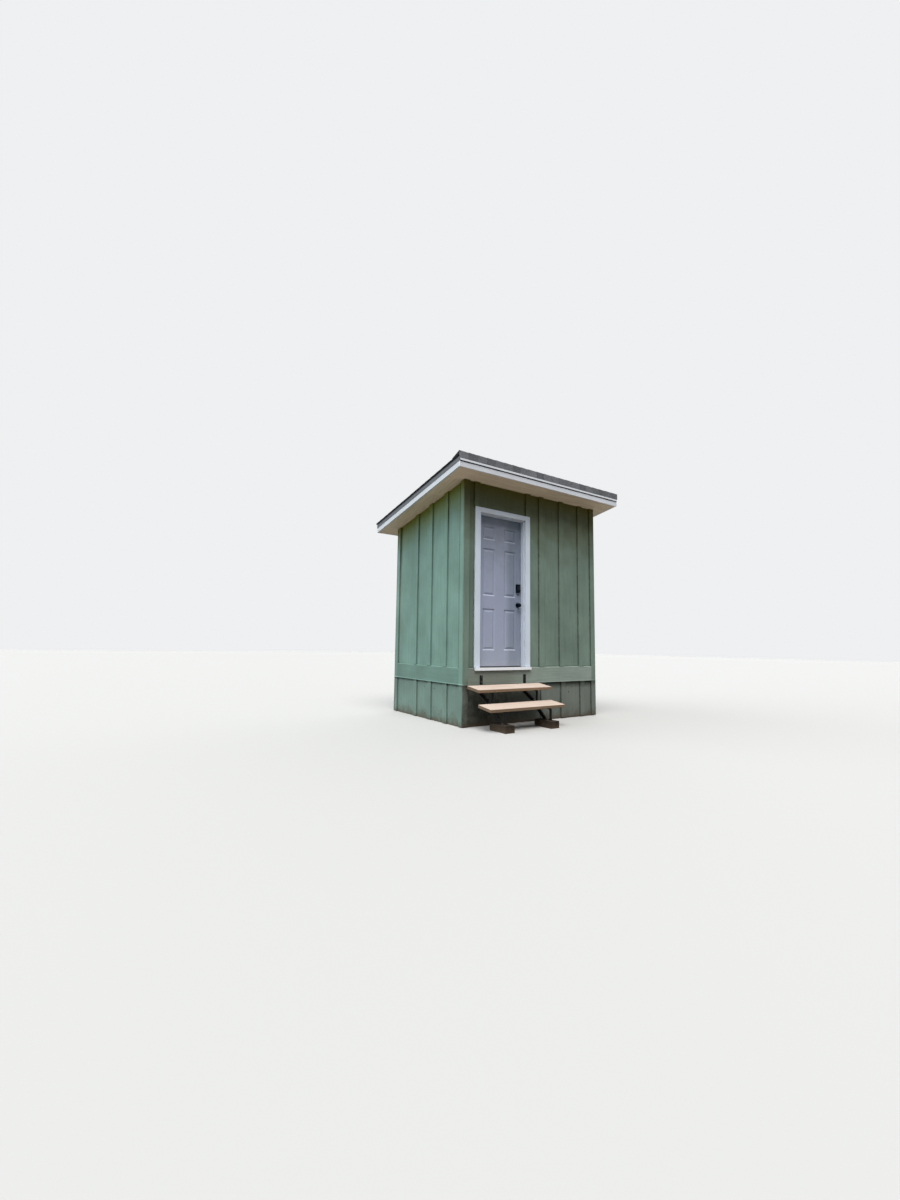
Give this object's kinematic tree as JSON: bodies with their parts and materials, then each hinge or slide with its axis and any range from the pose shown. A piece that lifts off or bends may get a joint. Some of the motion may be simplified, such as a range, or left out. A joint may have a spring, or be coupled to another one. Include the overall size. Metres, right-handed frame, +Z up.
{
  "type": "wooden outhouse",
  "caption": "Small board-and-batten wooden outhouse with a single-pitch roof, a white panelled door that swings inwards, a skirt to the ground and timber steps on steel frames.",
  "frame": {"origin": "on the ground in the middle of the walls, at the foot of the middle floor post", "axes": "+X to the right along the front, +Y from the front to the back, +Z up"},
  "size_m": [3.002, 2.705, 3.426],
  "materials": {
    "sage_paint": "satin sage green paint on wood",
    "white_paint": "satin white paint on wood",
    "frame_timber": "bare sawn timber",
    "floor_boards": "bare boards",
    "soffit_wood": "clear-stained panel",
    "roof_sheathing": "bare sheathing",
    "roofing": "mineral-surfaced bitumen",
    "grey_metal": "satin dark grey",
    "white_metal": "satin white",
    "threshold_metal": "mill finish, worn",
    "door_paint": "satin white paint",
    "black_lock": "satin black",
    "black_knob": "satin black",
    "hinge_steel": "satin",
    "tread_wood": "bare pale planks",
    "step_steel": "matt black",
    "block_wood": "weathered timber"
  },
  "bodies": {
    "building": {"skirt_ends": "sage_paint", "skirt_sides": "sage_paint", "floor_posts": "frame_timber", "floor_rims": "frame_timber", "floor_joists": "frame_timber", "floor_deck": "floor_boards", "front_wall_left": "sage_paint", "front_wall_right": "sage_paint", "front_wall_header": "sage_paint", "left_wall": "sage_paint", "right_wall": "sage_paint", "back_wall": "sage_paint", "battens_front": "sage_paint", "battens_back": "sage_paint", "battens_sides": "sage_paint", "corner_boards_ends": "sage_paint", "corner_boards_sides": "sage_paint", "band_ends": "sage_paint", "band_sides": "sage_paint", "soffit_ends": "soffit_wood", "soffit_sides": "soffit_wood", "rafters": "frame_timber", "rafter_blocks": "frame_timber", "roof_deck": "roof_sheathing", "roofing": "roofing", "front_cap": "roofing", "rake_flashings": "grey_metal", "drip_edges": "white_metal", "fascia_ends": "white_paint", "fascia_sides": "white_paint", "door_jambs": "white_paint", "door_jamb_head": "white_paint", "door_stops": "white_paint", "threshold": "threshold_metal", "door_trim_sides": "white_paint", "door_trim_head": "white_paint", "sill_board": "white_paint", "frame_hinges": "hinge_steel", "step_treads": "tread_wood", "step_frames": "step_steel", "step_blocks": "block_wood"},
    "door": {"door": "door_paint", "lock_set": "black_lock", "door_hinges": "hinge_steel"},
    "knob": {"knob": "black_knob"}
  },
  "joints": [
    {"name": "door_swing", "type": "hinge", "parent": "building", "child": "door", "pos_m": [-0.9615, -0.7925, 1.7], "axis": [0, 0, 1], "range_deg": [0, 90]},
    {"name": "knob_turn", "type": "hinge", "parent": "door", "child": "knob", "pos_m": [-0.257, -0.8225, 1.592], "axis": [0, 1, 0], "range_deg": [-60, 60]}
  ]
}
